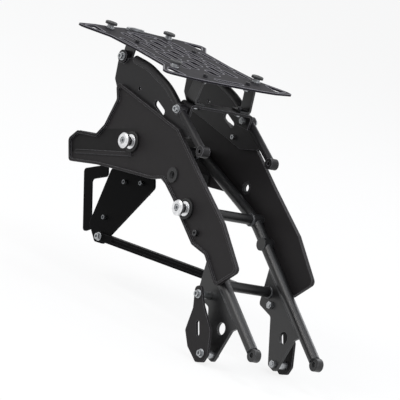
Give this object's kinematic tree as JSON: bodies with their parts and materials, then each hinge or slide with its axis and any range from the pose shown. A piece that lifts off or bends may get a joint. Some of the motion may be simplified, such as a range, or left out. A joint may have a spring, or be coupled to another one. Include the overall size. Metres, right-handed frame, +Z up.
{
  "type": "motorcycle pannier and luggage frame",
  "caption": "Tail frame with a slotted luggage rack on legs, formed side plates carrying turned pannier spools, side rails, cross tubes, a tail tray, gusset, stay and slotted foot brackets.",
  "frame": {"origin": "middle of the rack plate's top face", "axes": "+X forwards along the vehicle, +Y to its left, +Z up, square to the rack plate"},
  "size_m": [0.7686, 0.316, 0.4978],
  "materials": {
    "rack": "satin powder coat",
    "black_frame": "satin powder coat",
    "grey_frame": "matt powder coat",
    "bright": "turned and zinc plated",
    "cap": "moulded",
    "seal": "matt"
  },
  "bodies": {
    "root": {"rack_plate": "rack", "front_leg_left": "black_frame", "front_leg_right": "black_frame", "rear_bracket_left": "black_frame", "rear_bracket_right": "black_frame", "front_bridge": "black_frame", "grab_rail_left": "black_frame", "grab_rail_right": "black_frame", "side_rail_left": "black_frame", "side_rail_right": "black_frame", "rail_screws": "black_frame", "upper_cross_tube": "black_frame", "middle_cross_tube": "black_frame", "lower_cross_tube": "black_frame", "gusset_hanger": "black_frame", "gusset_plate": "black_frame", "rear_brace": "black_frame", "stay": "black_frame", "side_plate_left": "grey_frame", "side_plate_right": "grey_frame", "foot_bracket_left": "grey_frame", "foot_bracket_right": "grey_frame", "rear_catch": "bright", "stud_base_front_left": "bright", "stud_base_front_right": "bright", "stud_base_rear_left": "bright", "stud_base_rear_right": "bright", "rack_screws": "bright", "rack_nuts": "bright", "rear_bracket_bolts": "bright", "bridge_bolts": "bright", "web_screws": "bright", "upper_spool_left": "bright", "upper_spool_right": "bright", "lower_spool_left": "bright", "lower_spool_right": "bright", "upper_spool_bolt_left": "bright", "upper_spool_bolt_right": "bright", "lower_spool_bolt_left": "bright", "lower_spool_bolt_right": "bright", "tray_screws": "bright", "gusset_screws": "bright", "stay_bolts": "bright", "stay_nuts": "bright", "foot_spacers": "bright", "foot_bolts": "bright", "foot_nuts": "bright", "stud_cap_front_left": "cap", "stud_cap_front_right": "cap", "stud_cap_rear_left": "cap", "stud_cap_rear_right": "cap", "tail_tray": "cap", "grommet_left": "seal", "grommet_right": "seal"}
  },
  "joints": []
}
